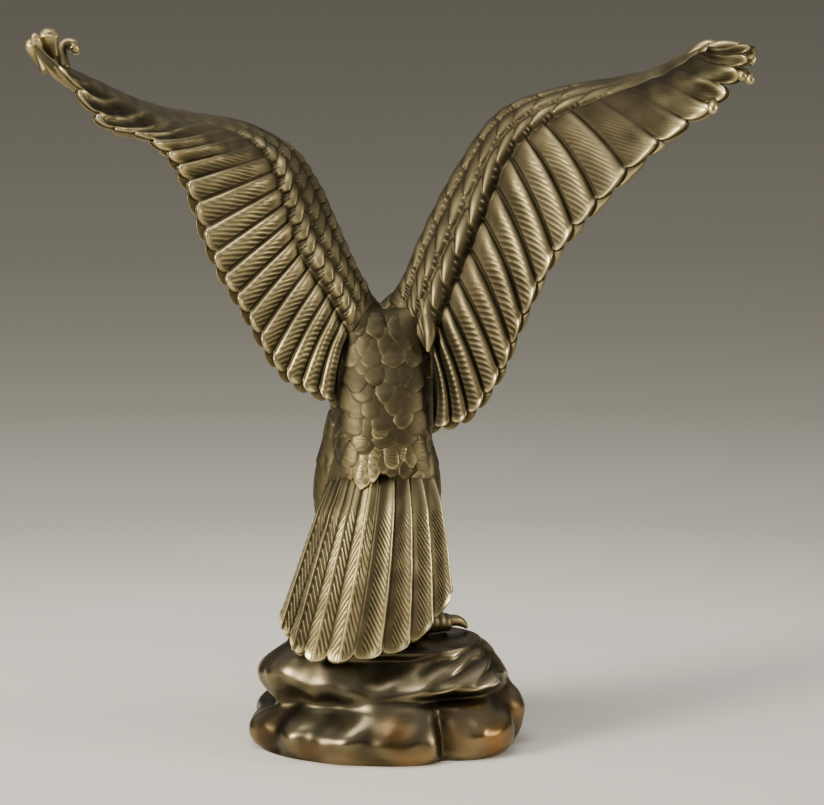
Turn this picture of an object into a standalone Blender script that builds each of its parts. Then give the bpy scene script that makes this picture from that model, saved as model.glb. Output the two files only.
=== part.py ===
"""A brass eagle with raised wings, standing on a cast rock.

The eagle faces -Y, +Z is up, and its left wing is on the +X side. The origin is the middle of the
rock's flat underside. The bird's pose points are in bird units: a bird unit is one 171st of the
bird's own height, so that a point keeps its place in the figure when the figure is scaled. They
are measured from the point on the rock's perch between the feet.
"""

import math

import bmesh
import bpy
import numpy as np

# Driving dimensions, in metres.
BIRD_HEIGHT = 0.171
PERCH_HEIGHT = 0.0295
ROCK_WIDTH = 0.078
ROCK_DEPTH = 0.062
SEAT_GAP = 0.0003

BIRD_UNIT = BIRD_HEIGHT / 171

# Thicknesses and carving depths of the cast feathers, in metres.
ARM_THICKNESS = 0.0100
HAND_THICKNESS = 0.0034
TAIL_ROOT_THICKNESS = 0.0046
VANE_THICKNESS = 0.0030
EDGE_THICKNESS = 0.0013
FEATHER_RELIEF = 0.0011
COVERT_RELIEF = 0.0008
BODY_SCALE_RELIEF = 0.0013
FEATHER_LAP = 0.0020
SECONDARY_NOTCH = 0.0022
PRIMARY_NOTCH = 0.0060
TAIL_NOTCH = 0.0022

# Shapes that hold for every feather: how square its tip and its crown are, how far its crown leans
# towards the wing's tip, and how much of its relief the underside has.
TIP_SQUARENESS = 2.4
CROWN_SQUARENESS = 2.2
CROWN_LEAN = 2.1
UNDERSIDE_RELIEF = 0.7

# Where a wing's arm is thickest, from its leading edge to its hinge line, and how far it is round;
# how much of the arm's thickness the vanes may have; and where along the wing the arm is at its
# thinnest, where the feathers start to curl up, and where they are fully curled.
ARM_CREST = 0.55
ARM_ROUNDING = 0.56
VANE_SHARE = 0.75
HAND_THIN = 0.8
CURL_START = 0.8
CURL_FULL = 0.94

# How little and how much of a feather's line the coverts may take.
COVERT_SHARES = (0.12, 0.6)

# Counts of feathers: those of each wing's arm and hand, and those of the tail.
LEFT_FEATHERS = (14, 7)
RIGHT_FEATHERS = (12, 6)
TAIL_FEATHERS = 8

# Rows of coverts on a wing and on the tail, and how far a wing's coverts slant, in feathers a row.
WING_COVERT_ROWS = 3
WING_COVERT_SLANT = -0.6
TAIL_COVERT_ROWS = 2

# Where the columns of points stand across each feather, as shares of its width.
FEATHER_COLUMNS = (0, 0.4, 0.78)

# Each wing has three lines, from the body to the wing's tip: the leading edge, the line where the
# flight feathers come out of the coverts, and the tips. The left wing's have a point every third
# feather, the right wing's every second.
LEFT_WING = {
    "lead": [
        (3.6, -6, 94.2), (9.8, -9, 104), (14.9, -12, 116.6), (19.7, -15, 126.8),
        (26.7, -17, 135.9), (40.7, -16, 144.1), (64, -9, 148.7), (88.7, 2, 159.9),
    ],
    "hinge": [
        (10.5, 3, 86.5), (16.6, 2, 97), (24.1, 1, 108.4), (28.8, -1, 121.8),
        (34.1, -4, 134.6), (45.2, -5, 142), (65.6, 1, 147), (89.3, 7, 159.3),
    ],
    "tips": [
        (13.6, 8, 66.5), (28.4, 10, 74.6), (39, 11, 91.4), (48.8, 11, 108.7),
        (56.3, 11, 129.3), (65.2, 14, 140.7), (81.4, 17, 146.3), (98.7, 15, 162.1),
    ],
    "curl": (-1.5, -3, 6.5),
}
RIGHT_WING = {
    "lead": [
        (-0.8, -6, 94.4), (-5.8, -9, 101.5), (-11.4, -12.3, 113.5), (-18.6, -15.4, 127.5),
        (-28.5, -16.9, 142.3), (-36, -16.5, 148.8), (-52, -13.5, 154.2), (-72.5, -8, 157.8),
        (-84.5, -2, 163), (-90.5, 2, 166.3),
    ],
    "hinge": [
        (-12.5, 3, 81.5), (-15.4, 2.2, 89), (-20.8, 0.8, 101.5), (-28, -1.5, 117.5), (-35.4, -4.3, 134.5),
        (-45.2, -4.8, 143.5), (-60, -3, 150.5), (-75, 1, 156.5), (-85.5, 4.5, 162.5), (-89.3, 6, 165.3),
    ],
    "tips": [
        (-13, 8, 59.2), (-23.5, 9.5, 63), (-32.4, 10.5, 75), (-38.5, 11, 90), (-47.3, 11, 107.5),
        (-59, 11.5, 121.9), (-76.5, 13, 139.3), (-90.5, 14, 149.8), (-97.5, 14, 159), (-99.5, 13, 166),
    ],
    "curl": (-1, 1.5, 1.5),
}
# The tail's three lines run from the bird's left to its right.
TAIL = {
    "lead": [(10, -2, 57), (5.5, 3, 58), (0.6, 5, 58), (-4.5, 3, 58), (-9.5, -2, 57)],
    "hinge": [(15, 2, 44.5), (8.6, 9, 47), (1.4, 11.5, 48), (-5.8, 9, 47), (-12.8, 2, 45.5)],
    "tips": [(29.7, 14, 7.6), (22.6, 21, -1.6), (9.1, 24, -1.7), (-6.6, 21, 1.8), (-19, 14, 14)],
    "curl": (0, 0, 0),
}

# The trunk, neck and head: x, y, z, half width and half depth of each section along the bird.
TRUNK = [
    (0.8, 14.5, 41, 4, 2), (0.8, 12, 44.5, 9, 5), (0.9, 8, 49.5, 12, 9), (0.7, 3.5, 55.5, 12.8, 12.6),
    (0.5, -1, 62, 13.4, 15.4), (0.2, -6.5, 69, 14.8, 17), (-0.5, -13, 74.6, 15.2, 16.2),
    (-0.4, -19, 77.8, 13.4, 13.6), (0, -25, 79, 11.2, 11), (0, -31, 78.7, 9.4, 9.4),
    (0, -36.5, 77.5, 8.4, 8.8), (0, -41.5, 75.4, 7.6, 7.8), (0, -45, 73, 5.4, 5.8), (0, -47, 71.5, 2.8, 3.2),
]
TRUNK_SQUARENESS = 2.5
TRUNK_SCALES = 12
TRUNK_SCALE_ROWS = 18

# Where along the trunk the neck starts, on which every other row is left plain, and the head.
NECK_START = 0.56
HEAD_START = 0.8

# Limbs and beak: x, y, z and radius along each. Those that come in pairs are the bird's left one.
SHOULDER = [
    (5, -5, 74, 11), (5.5, -5.5, 82, 9.8), (7.5, -5, 90, 7.2), (11, -4.2, 97.5, 4.4), (15, -4.4, 104, 2.2),
]
THIGH = [
    (6, -3, 62, 7.5), (7.4, -6, 53, 8), (8.8, -7, 44, 8.6), (9.6, -8, 35, 7.6), (9.8, -8, 27, 5),
    (9.8, -7, 21, 3.6),
]
SHANK = [(9.8, -8, 28, 3.4), (9.8, -6, 15, 2.9), (9.8, -4, 3.4, 3.4)]
ANKLE = (9.8, -4)
STANCE_SHIFT = 2.2
UPPER_BEAK = [
    (0, -40.5, 73.6, 5.4), (0, -46.5, 73.2, 5.2), (0, -51.5, 71.2, 4.4), (0, -55.2, 67.6, 3),
    (0, -56.4, 63.6, 1.6), (0, -55.8, 60.8, 0.5),
]
LOWER_BEAK = [(0, -41.5, 69, 3.6), (0, -47, 67.6, 3), (0, -51, 66.4, 1.6), (0, -52.4, 66, 0.6)]
BEAK_NARROWING = 0.66
EYE = (7.2, -40, 77.6, 1.7)
BROW = [(4.6, -34.6, 83, 1.6), (6.8, -39.2, 81.2, 2.1), (5.8, -43.8, 78.6, 1.5)]

# Each toe's length by how many degrees it is turned outwards from the bird's front.
TOES = {-22: 11.5, 18: 12.5, 68: 11.5, 182: 7}
TOE_SIDES = 6
CLAW_LENGTH = 5.5
# Stations of a toe: share of its length and radius. Those of a claw have the height of its sole too.
TOE = [(-0.1, 3.2), (0.35, 3), (0.7, 3.1), (1, 2.4)]
CLAW = [(-0.36, 1.9, 1.2), (0.4, 1.6, 1.3), (0.8, 1.1, 0.6), (1, 0.5, 0)]

# The free feathers at the end of each hand. The first one curls in over the leading edge.
LEFT_FINGERS = {
    "left_hook": [
        (88, 4, 159.5, 2), (88.9, 2, 164.3, 1.6), (88.3, 1, 166.2, 1.4), (86.8, 1, 166.9, 1.3),
        (85.2, 2, 166.4, 1.2), (84.7, 3, 165.4, 0.7),
    ],
    "left_petal": [
        (90, 8, 158.8, 1.9), (91.2, 6, 163.9, 1.3), (91.5, 6, 166.6, 1.5), (91.5, 7, 169.1, 1.8),
        (91.4, 8, 170.2, 1),
    ],
    "left_outer_petal": [
        (91.8, 10, 159.2, 2), (93.9, 9, 164, 1.5), (94.6, 10, 166.8, 1.6), (95, 11, 168.4, 1.4),
        (94.9, 12, 169.3, 0.8),
    ],
}
RIGHT_FINGERS = {
    "right_hook": [
        (-83, 0, 161.4, 2.2), (-85.8, 2, 164.6, 1.9), (-89, 3, 166.2, 1.6), (-92, 4, 165.2, 1),
    ],
}

BRASS = ((0.33, 0.25, 0.11, 1), 0.38)
DARK_BRASS = ((0.16, 0.11, 0.06, 1), 0.32)


def through(points, t):
    """The points at t, each from 0 to 1, on a smooth curve through evenly spaced points."""
    points = np.asarray(points, float)
    spans = len(points) - 1
    place = np.clip(np.asarray(t, float), 0, 1) * spans
    i = np.minimum(place.astype(int), spans - 1)
    u = (place - i)[..., None]
    start, end = points[i], points[i + 1]
    before = np.where((i > 0)[..., None], points[np.maximum(i - 1, 0)], 2 * start - end)
    after = np.where((i < spans - 1)[..., None], points[np.minimum(i + 2, spans)], 2 * end - start)
    out, back = (end - before) / 2, (after - start) / 2
    return (
        (2 * u**3 - 3 * u**2 + 1) * start
        + (u**3 - 2 * u**2 + u) * out
        + (3 * u**2 - 2 * u**3) * end
        + (u**3 - u**2) * back
    )


def smooth_step(x):
    x = np.clip(x, 0, 1)
    return x * x * (3 - 2 * x)


def scales(across, along, slant=0.0, reach=1.55, bluntness=1.12, root=0.35, crown=0.55):
    """How high overlapping scale feathers stand, from 0 to 1, with one scale to each unit.

    Each row is shifted by half a scale, its tips point along, and it laps over the next row. A scale
    is reach rows long, stands as high as root where it starts, and falls by crown to its sides.
    """
    height = np.zeros(np.broadcast(across, along).shape)
    covered = np.zeros(height.shape, bool)
    for older in (1, 0):
        row = np.floor(along) - older
        down = (along - row) / reach
        side = across - slant * (along - row) - 0.5 * np.mod(row, 2)
        side = 2 * (side - np.floor(side)) - 1
        inside = (down < 1) & (np.abs(side) < np.sqrt(np.clip(bluntness - down**3, 0, 1))) & ~covered
        dome = (root + (1 - root) * np.clip(down, 0, 1)) * (1 - crown * side**2)
        height = np.where(inside, dome, height)
        covered |= inside
    return height


def rounded(share, lean=1.0):
    """How high a feather stands across its width. Its crown is in the middle, or leans further on."""
    return 1 - np.abs(2 * share**lean - 1) ** CROWN_SQUARENESS


def tip_shape(share):
    """How far a feather reaches across its width, from 0 at its sides to 1 at its tip."""
    return np.sqrt(np.clip(1 - np.abs(2 * share - 1) ** TIP_SQUARENESS, 0, 1))


def solid(name, points, faces):
    """One closed mesh object, in the bird's or the rock's own place, with its faces turned out."""
    mesh = bpy.data.meshes.new(name)
    built = bmesh.new()
    made = [built.verts.new(p) for p in points]
    for face in faces:
        built.faces.new([made[i] for i in face])
    bmesh.ops.recalc_face_normals(built, faces=built.faces)
    bmesh.ops.triangulate(built, faces=built.faces)
    built.to_mesh(mesh)
    built.free()
    obj = bpy.data.objects.new(name, mesh)
    bpy.context.scene.collection.objects.link(obj)
    return obj


def tube_faces(rings, sides):
    """The faces of a tube of rings, each with as many points, and an n-sided cap at each end."""
    faces = [
        (r * sides + k, r * sides + (k + 1) % sides, (r + 1) * sides + (k + 1) % sides, (r + 1) * sides + k)
        for r in range(rings - 1)
        for k in range(sides)
    ]
    faces.append(tuple(range(sides)))
    faces.append(tuple(range((rings - 1) * sides, rings * sides)))
    return faces


def limb(name, stations, sides=8, rings=9, narrowing=1.0, mirrored=False, shift=0.0):
    """A rounded tube along x, y, z and radius stations, in bird units."""
    sampled = through(stations, np.linspace(0, 1, rings))
    if mirrored:
        sampled[:, 0] *= -1
    sampled[:, 0] += shift
    centres, radii = sampled[:, :3], sampled[:, 3]
    heading = np.gradient(centres, axis=0)
    heading /= np.linalg.norm(heading, axis=1)[:, None]
    side = np.cross(heading[0], (0, 0, 1) if abs(heading[0, 2]) < 0.8 else (0, 1, 0))
    points = []
    for centre, radius, forward in zip(centres, radii, heading):
        side = side - forward * side.dot(forward)
        side /= np.linalg.norm(side)
        up = np.cross(side, forward)
        for k in range(sides):
            angle = 2 * math.pi * (k + 0.5) / sides - math.pi / 2
            offset = narrowing * math.cos(angle) * side + math.sin(angle) * up
            points.append(in_place(centre + radius * offset))
    return solid(name, points, tube_faces(rings, sides))


def in_place(point):
    """A point of the bird, in bird units from the perch, as a place in the model, in metres."""
    x, y, z = point
    return (
        x * BIRD_UNIT,
        y * BIRD_UNIT,
        z * BIRD_UNIT + PERCH_HEIGHT + SEAT_GAP,
    )


class Fan:
    """A fan of feathers: coverts from its lead line to its hinge line, then one vane a feather.

    The lapped feathers, nearest the body, end short of a second layer below them.
    """

    def __init__(self, lines, lapped, unlapped, arm, hand, notches, covert_rows, slant):
        self.lines = {k: np.array([in_place(p) for p in lines[k]]) for k in ("lead", "hinge", "tips")}
        self.curl = np.array(lines["curl"]) * BIRD_UNIT
        self.lapped, self.unlapped = lapped, unlapped
        self.count = lapped + unlapped
        self.arm, self.hand = arm, hand
        self.notches = notches
        self.covert_rows, self.slant = covert_rows, slant

    def middle(self, feather, chord):
        """The middle surface: chord runs from 0 at the lead line to 1 at the tips."""
        t = feather / self.count
        lead, hinge, tip = (through(self.lines[k], t) for k in ("lead", "hinge", "tips"))
        turn = self.hinge_share(feather)[..., None]
        w = chord[..., None]
        curled = smooth_step((t - CURL_START) / (CURL_FULL - CURL_START))[..., None]
        curled = curled * np.maximum((w - turn) / (1 - turn), 0) ** 2
        return (
            lead * (w - turn) * (w - 1) / turn
            + hinge * w * (w - 1) / (turn * (turn - 1))
            + tip * w * (w - turn) / (1 - turn)
            + self.curl * curled
        )

    def chord_length(self, feather):
        t = feather / self.count
        lead, hinge, tip = (through(self.lines[k], t) for k in ("lead", "hinge", "tips"))
        return np.linalg.norm(hinge - lead, axis=-1), np.linalg.norm(tip - hinge, axis=-1)

    def hinge_share(self, feather):
        coverts, vane = self.chord_length(feather)
        return np.clip(coverts / (coverts + vane), *COVERT_SHARES)

    def normal(self, feather, chord):
        """The direction out of the fan's back, which is the side that faces +Y."""
        step = 0.02
        along = self.middle(feather + step, chord) - self.middle(feather - step, chord)
        across = self.middle(feather, chord + step) - self.middle(feather, chord - step)
        out = np.cross(along, across)
        out /= np.linalg.norm(out, axis=-1)[..., None]
        return out * np.sign(out[..., 1].sum())

    def thickness(self, feather, chord):
        """Whole thickness: a rounded arm under the coverts, and vanes that thin to the tips."""
        t = feather / self.count
        turn = self.hinge_share(feather)
        arm = self.arm + (self.hand - self.arm) * smooth_step(t / HAND_THIN)
        q = np.clip(chord / turn, 0, 1)
        covered = arm * np.sqrt(np.clip(1 - ((q - ARM_CREST) / ARM_ROUNDING) ** 2, 0, 1))
        vane = (chord - turn) / (1 - turn)
        thin = VANE_THICKNESS + (EDGE_THICKNESS - VANE_THICKNESS) * np.clip(vane, 0, 1)
        return np.where(chord <= turn, covered, np.minimum(thin, VANE_SHARE * arm))

    def columns(self):
        """Where the columns of points stand, counted in feathers from the body outwards."""
        return np.array([k + share for k in range(self.count) for share in FEATHER_COLUMNS])

    def notch(self, feather):
        """How far the gap between two tips is cut back, on the way from the body to the tip."""
        near, far = self.notches
        return near + (far - near) * smooth_step((feather - self.lapped) / self.unlapped)

    def surface(self, columns, covert_steps, vane_steps, under_steps):
        """Rings of points round the fan, one a column, from the lead line over the back to the tips
        and home again under the fan."""
        inside = np.mod(columns, 1)
        shifted = np.mod(columns + 0.5, 1)
        coverts, vane = self.chord_length(columns)
        turn = self.hinge_share(columns)
        notch = self.notch(columns)
        lapped = columns < self.lapped
        lap = np.where(lapped, FEATHER_LAP, EDGE_THICKNESS / 2)
        under_end = 1 - notch * (1 - tip_shape(np.where(lapped, shifted, inside))) / vane
        upper_end = 1 - (lap + notch * (1 - tip_shape(inside))) / vane
        rings = []

        def add(chord, offset):
            rings.append(self.middle(columns, chord) + self.normal(columns, chord) * offset[:, None])

        for q in np.concatenate([[0], (np.arange(covert_steps) + 0.2) / covert_steps, [1]]):
            chord = turn * q
            body = self.thickness(columns, chord) / 2
            rows = np.full(len(columns), self.covert_rows * q * 0.999)
            fade = smooth_step(q / 0.2) * smooth_step((1 - columns / self.count) / 0.25)
            carved = COVERT_RELIEF * scales(columns, rows, self.slant) * fade
            add(chord, body * (q > 0) + carved)
        for v in np.linspace(0.04, 1, vane_steps + 1):
            chord = turn + (1 - turn) * v * upper_end
            raised = FEATHER_RELIEF * rounded(inside, CROWN_LEAN) * smooth_step(0.3 + 3 * v)
            add(chord, self.thickness(columns, chord) / 2 + raised)
        add(turn + (1 - turn) * (upper_end + 0.12 * lap / vane), np.full(len(columns), EDGE_THICKNESS * 0.2))
        chord = turn + (1 - turn) * under_end
        add(chord, np.full(len(columns), EDGE_THICKNESS * 0.15))
        add(chord, np.full(len(columns), -EDGE_THICKNESS * 0.5))
        for v in np.linspace(0.9, 0, under_steps):
            chord = turn + (1 - turn) * v * under_end
            raised = UNDERSIDE_RELIEF * FEATHER_RELIEF * rounded(inside) * smooth_step(3 * v)
            add(chord, -self.thickness(columns, chord) / 2 - raised)
        chord = turn * 0.35
        add(chord, -self.thickness(columns, chord) / 2)
        return np.stack(rings, axis=1)

    def build(self, name, covert_steps, vane_steps, under_steps):
        points = self.surface(self.columns(), covert_steps, vane_steps, under_steps)
        count, around = points.shape[:2]
        return solid(name, points.reshape(-1, 3), tube_faces(count, around))


def trunk():
    """Rump, back, breast, neck and head as one lofted form, with scale feathers carved on it."""
    sides = 2 * TRUNK_SCALES
    rows = np.arange(0, TRUNK_SCALE_ROWS, 0.5) + 0.12
    shares = 1 - rows[::-1] / TRUNK_SCALE_ROWS
    kept = (shares < NECK_START) | (np.arange(len(rows)) % 2 == 0)
    t = np.concatenate([[0], shares[kept], [1]])
    sections = through(TRUNK, t)
    heading = np.gradient(sections[:, 1:3], axis=0)
    heading /= np.linalg.norm(heading, axis=1)[:, None]
    points = []
    for (x, y, z, wide, deep), (dy, dz), share in zip(sections, heading, t):
        plain = smooth_step((share - HEAD_START) / 0.08)
        for k in range(sides):
            angle = 2 * math.pi * k / sides
            across = np.array(TRUNK_SCALES * k / sides)
            lift = float(scales(across, np.array(TRUNK_SCALE_ROWS * (1 - share))))
            sine, cosine = math.sin(angle), math.cos(angle)
            square = abs(sine) ** TRUNK_SQUARENESS + abs(cosine) ** TRUNK_SQUARENESS
            out = square ** (-1 / TRUNK_SQUARENESS)
            out += BODY_SCALE_RELIEF / BIRD_UNIT * lift * (1 - plain) / deep
            side, back = wide * sine * out, deep * cosine * out
            points.append(in_place((x + side, y + dz * back, z - dy * back)))
    return solid("trunk", points, tube_faces(len(t), sides))


def toe_stations(turn, length):
    """Stations of a toe and of its claw, from the ankle outwards. The toe's sole lies on the rock."""
    out, forward = math.sin(math.radians(turn)), -math.cos(math.radians(turn))
    flat = math.cos(math.pi / TOE_SIDES)

    def at(reach, radius, lift=0.0):
        return (ANKLE[0] + out * reach, ANKLE[1] + forward * reach, radius * flat + lift, radius)

    toe = [at(length * share, radius) for share, radius in TOE]
    claw = [at(length + CLAW_LENGTH * share, radius, lift) for share, radius, lift in CLAW]
    return toe, claw


def eagle_pieces():
    """Every form that the one casting of the eagle is made of."""
    notches = (SECONDARY_NOTCH, PRIMARY_NOTCH)
    coverts = (WING_COVERT_ROWS, WING_COVERT_SLANT)
    pieces = []
    wings = (("left_wing", LEFT_WING, LEFT_FEATHERS), ("right_wing", RIGHT_WING, RIGHT_FEATHERS))
    for name, lines, counts in wings:
        wing = Fan(lines, *counts, ARM_THICKNESS, HAND_THICKNESS, notches, *coverts)
        pieces.append(wing.build(name, 6, 2, 3))
    root = (TAIL_ROOT_THICKNESS, TAIL_ROOT_THICKNESS)
    tail = Fan(TAIL, 0, TAIL_FEATHERS, *root, (TAIL_NOTCH, TAIL_NOTCH), TAIL_COVERT_ROWS, 0)
    pieces.append(tail.build("tail", 1, 3, 2))
    for name, stations in (LEFT_FINGERS | RIGHT_FINGERS).items():
        pieces.append(limb(name, stations, 5, 7))
    pieces.append(limb("upper_beak", UPPER_BEAK, 8, 8, BEAK_NARROWING))
    pieces.append(limb("lower_beak", LOWER_BEAK, 6, 5, BEAK_NARROWING))
    for side in (1, -1):
        word = "left" if side > 0 else "right"
        mirrored = side < 0
        pieces.append(limb(word + "_shoulder", SHOULDER, 8, 6, 1.0, mirrored))
        pieces.append(limb(word + "_thigh", THIGH, 9, 8, 1.0, mirrored, STANCE_SHIFT))
        pieces.append(limb(word + "_shank", SHANK, 8, 4, 1.0, mirrored, STANCE_SHIFT))
        pieces.append(limb(word + "_brow", BROW, 6, 4, 1.0, mirrored))
        x, y, z, radius = EYE
        eye = [(x - 1, y, z, radius * 0.8), (x, y, z, radius), (x + 0.9, y, z, radius * 0.6)]
        pieces.append(limb(word + "_eye", eye, 6, 3, 1.0, mirrored))
        for turn, length in TOES.items():
            toe, claw = toe_stations(turn, length)
            pieces.append(limb(f"{word}_toe_{turn}", toe, TOE_SIDES, 4, 1.0, mirrored, STANCE_SHIFT))
            pieces.append(limb(f"{word}_claw_{turn}", claw, 5, 4, 1.0, mirrored, STANCE_SHIFT))
    return pieces


def metal(name, finish):
    colour, roughness = finish
    material = bpy.data.materials.new(name)
    material.use_nodes = True
    shader = material.node_tree.nodes["Principled BSDF"]
    shader.inputs["Base Color"].default_value = colour
    shader.inputs["Metallic"].default_value = 1.0
    shader.inputs["Roughness"].default_value = roughness
    return material


def eagle():
    """The eagle as one solid: its forms fused as the founder's wax is."""
    body = trunk()
    forms = bpy.data.collections.new("eagle_forms")
    bpy.context.scene.collection.children.link(forms)
    for piece in eagle_pieces():
        bpy.context.scene.collection.objects.unlink(piece)
        forms.objects.link(piece)
        piece.hide_render = True
        piece.display_type = "WIRE"
    fuse = body.modifiers.new("fuse", "BOOLEAN")
    fuse.operation = "UNION"
    fuse.operand_type = "COLLECTION"
    fuse.collection = forms
    body.name = "eagle"
    body.data.materials.append(metal("antique brass", BRASS))
    return body


# The rock: height, and how wide it is there as a share of its full size.
ROCK_PROFILE = [
    (0, 0.92), (0.05, 0.97), (0.19, 1), (0.31, 0.97), (0.42, 0.89), (0.51, 0.86), (0.57, 0.85),
    (0.66, 0.85), (0.78, 0.81), (0.9, 0.75), (1, 0.68),
]
# Lumps and hollows: turn in degrees from +X, height share, how far each spreads, and its swell.
ROCK_LUMPS = [
    (0, 0.42, 22, 0.1, -0.16), (6, 0.76, 22, 0.2, 0.09), (60, 0.48, 22, 0.14, -0.13),
    (72, 0.2, 10, 0.2, 0.05), (98, 0.2, 13, 0.22, 0.07), (119, 0.22, 7, 0.26, -0.17),
    (140, 0.22, 15, 0.24, 0.09), (92, 0.88, 26, 0.24, -0.17), (180, 0.42, 20, 0.14, 0.09),
    (150, 0.68, 20, 0.14, 0.05), (166, 0.2, 6, 0.2, -0.06), (208, 0.62, 15, 0.3, 0.09),
    (214, 0.2, 12, 0.2, -0.06), (236, 0.34, 14, 0.34, 0.1), (252, 0.74, 9, 0.3, -0.13),
    (268, 0.3, 8, 0.3, -0.08), (280, 0.66, 15, 0.34, 0.12), (300, 0.2, 14, 0.24, 0.08),
    (316, 0.6, 9, 0.3, -0.11), (334, 0.5, 12, 0.4, 0.09), (345, 0.16, 8, 0.2, -0.06),
    (35, 0.5, 9, 0.2, -0.07), (30, 0.8, 10, 0.2, 0.06), (126, 0.56, 26, 0.06, -0.09),
    (126, 0.68, 26, 0.08, 0.05),
]
ROCK_SIDES = 34
# How much of its swell the rock keeps at the perch.
PERCH_SWELL = 0.4


def rock():
    """The cast rock: a lobed plinth in two tiers, flat below and flat at the perch."""
    points = []
    for share, size in ROCK_PROFILE:
        for k in range(ROCK_SIDES):
            turn = 360 * k / ROCK_SIDES
            swell = 0.0
            for at, height, spread, rise, amount in ROCK_LUMPS:
                away = (turn - at + 180) % 360 - 180
                swell += amount * math.exp(-((away / spread) ** 2) - ((share - height) / rise) ** 2)
            reach = size + swell * (PERCH_SWELL if share == 1 else 1)
            angle = math.radians(turn)
            points.append((
                ROCK_WIDTH / 2 * reach * math.cos(angle),
                ROCK_DEPTH / 2 * reach * math.sin(angle),
                PERCH_HEIGHT * share,
            ))
    made = solid("rock_plinth", points, tube_faces(len(ROCK_PROFILE), ROCK_SIDES))
    made.data.materials.append(metal("dark brass", DARK_BRASS))
    return made


def main():
    for obj in list(bpy.data.objects):
        bpy.data.objects.remove(obj)
    eagle()
    rock()


main()
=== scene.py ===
"""Looks of the brass eagle on its rock: fine carving, patina, light and camera.

The forms repeat the solids' own lines and sections, in the same bird units, and add the carving that
the solids are too coarse for. The photo shows the statue from behind, so the camera stands on +Y.
"""

import math

import bmesh
import bpy
import numpy as np
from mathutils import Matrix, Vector


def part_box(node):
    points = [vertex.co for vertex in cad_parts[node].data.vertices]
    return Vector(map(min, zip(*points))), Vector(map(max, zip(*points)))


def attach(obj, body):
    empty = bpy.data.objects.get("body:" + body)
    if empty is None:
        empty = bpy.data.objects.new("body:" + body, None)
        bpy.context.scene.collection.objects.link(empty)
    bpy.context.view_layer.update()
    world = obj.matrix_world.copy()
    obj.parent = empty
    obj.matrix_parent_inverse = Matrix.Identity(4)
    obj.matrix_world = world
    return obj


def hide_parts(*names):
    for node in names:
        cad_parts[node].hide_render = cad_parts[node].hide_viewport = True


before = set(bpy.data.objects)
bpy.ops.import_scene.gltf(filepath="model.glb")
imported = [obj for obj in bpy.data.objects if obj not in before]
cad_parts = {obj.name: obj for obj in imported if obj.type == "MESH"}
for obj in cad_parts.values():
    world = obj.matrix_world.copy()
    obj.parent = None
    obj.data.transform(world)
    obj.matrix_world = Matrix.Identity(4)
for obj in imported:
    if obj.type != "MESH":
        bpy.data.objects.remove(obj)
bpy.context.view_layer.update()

# Driving dimensions, in metres, as in the solids.
BIRD_UNIT = 0.001
PERCH_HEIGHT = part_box("rock_plinth")[1].z
ROCK_WIDTH = 0.078
ROCK_DEPTH = 0.062
SEAT_GAP = 0.0003

ARM_THICKNESS = 0.0100
HAND_THICKNESS = 0.0034
TAIL_ROOT_THICKNESS = 0.0046
VANE_THICKNESS = 0.0030
EDGE_THICKNESS = 0.0013
SECONDARY_NOTCH = 0.0022
PRIMARY_NOTCH = 0.0060
TAIL_NOTCH = 0.0022

# Carving, in metres: heights, how far a tip laps over the layer below, and two spacings.
FEATHER_RELIEF = 0.0012
BODY_SCALE_RELIEF = 0.0013
COVERT_RELIEF = 0.0012
BRAID_RELIEF = 0.0018
GROOVE_DEPTH = 0.0006
BARB_RELIEF = 0.00034
QUILL_RELIEF = 0.0005
RIM_RELIEF = 0.0003
CUP_DEPTH = 0.0012
CRUMPLE = 0.0004
HAND_WORK = 0.00008
FEATHER_LAP = 0.0013
BARB_SPACING = 0.00125
STRATA_SPACING = 0.0042

# Shapes that hold for every feather, as in the solids. The last two are this script's own: where the
# smoother feathers of the hand start, and how far the crowns of the tail's right half lean.
TIP_SQUARENESS = 2.4
CROWN_SQUARENESS = 2.2
CROWN_LEAN = 2.1
UNDERSIDE_RELIEF = 0.7
ARM_CREST = 0.55
ARM_ROUNDING = 0.56
VANE_SHARE = 0.75
HAND_THIN = 0.8
CURL_START = 0.8
CURL_FULL = 0.94
COVERT_SHARES = (0.12, 0.6)
HAND_START = 0.48
TAIL_LEAN = 4.3

# Counts of feathers and of rows of coverts, how long and wide a covert is in its row, how many
# columns of points a wing and the tail have, and how far short of the last feather's side they end.
LEFT_FEATHERS = (14, 7)
RIGHT_FEATHERS = (12, 6)
TAIL_FEATHERS = 8
HERRINGBONE_FEATHERS = 4
COVERT_ROWS = 3
DROP_REACH = 1.3
DROP_WIDTH = 0.4
WING_COLUMNS = 462
TAIL_COLUMNS = 256
SHORT_OF_END = 0.005

# Each wing has three lines, from the body to the wing's tip: the leading edge, the line where the
# flight feathers come out of the coverts, and the tips. The left wing's have a point every third
# feather, the right wing's every second.
LEFT_WING = {
    "lead": [
        (3.6, -6, 94.2), (9.8, -9, 104), (14.9, -12, 116.6), (19.7, -15, 126.8),
        (26.7, -17, 135.9), (40.7, -16, 144.1), (64, -9, 148.7), (88.7, 2, 159.9),
    ],
    "hinge": [
        (10.5, 3, 86.5), (16.6, 2, 97), (24.1, 1, 108.4), (28.8, -1, 121.8),
        (34.1, -4, 134.6), (45.2, -5, 142), (65.6, 1, 147), (89.3, 7, 159.3),
    ],
    "tips": [
        (13.6, 8, 66.5), (28.4, 10, 74.6), (39, 11, 91.4), (48.8, 11, 108.7),
        (56.3, 11, 129.3), (65.2, 14, 140.7), (81.4, 17, 146.3), (98.7, 15, 162.1),
    ],
    "curl": (-1.5, -3, 6.5),
}
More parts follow.
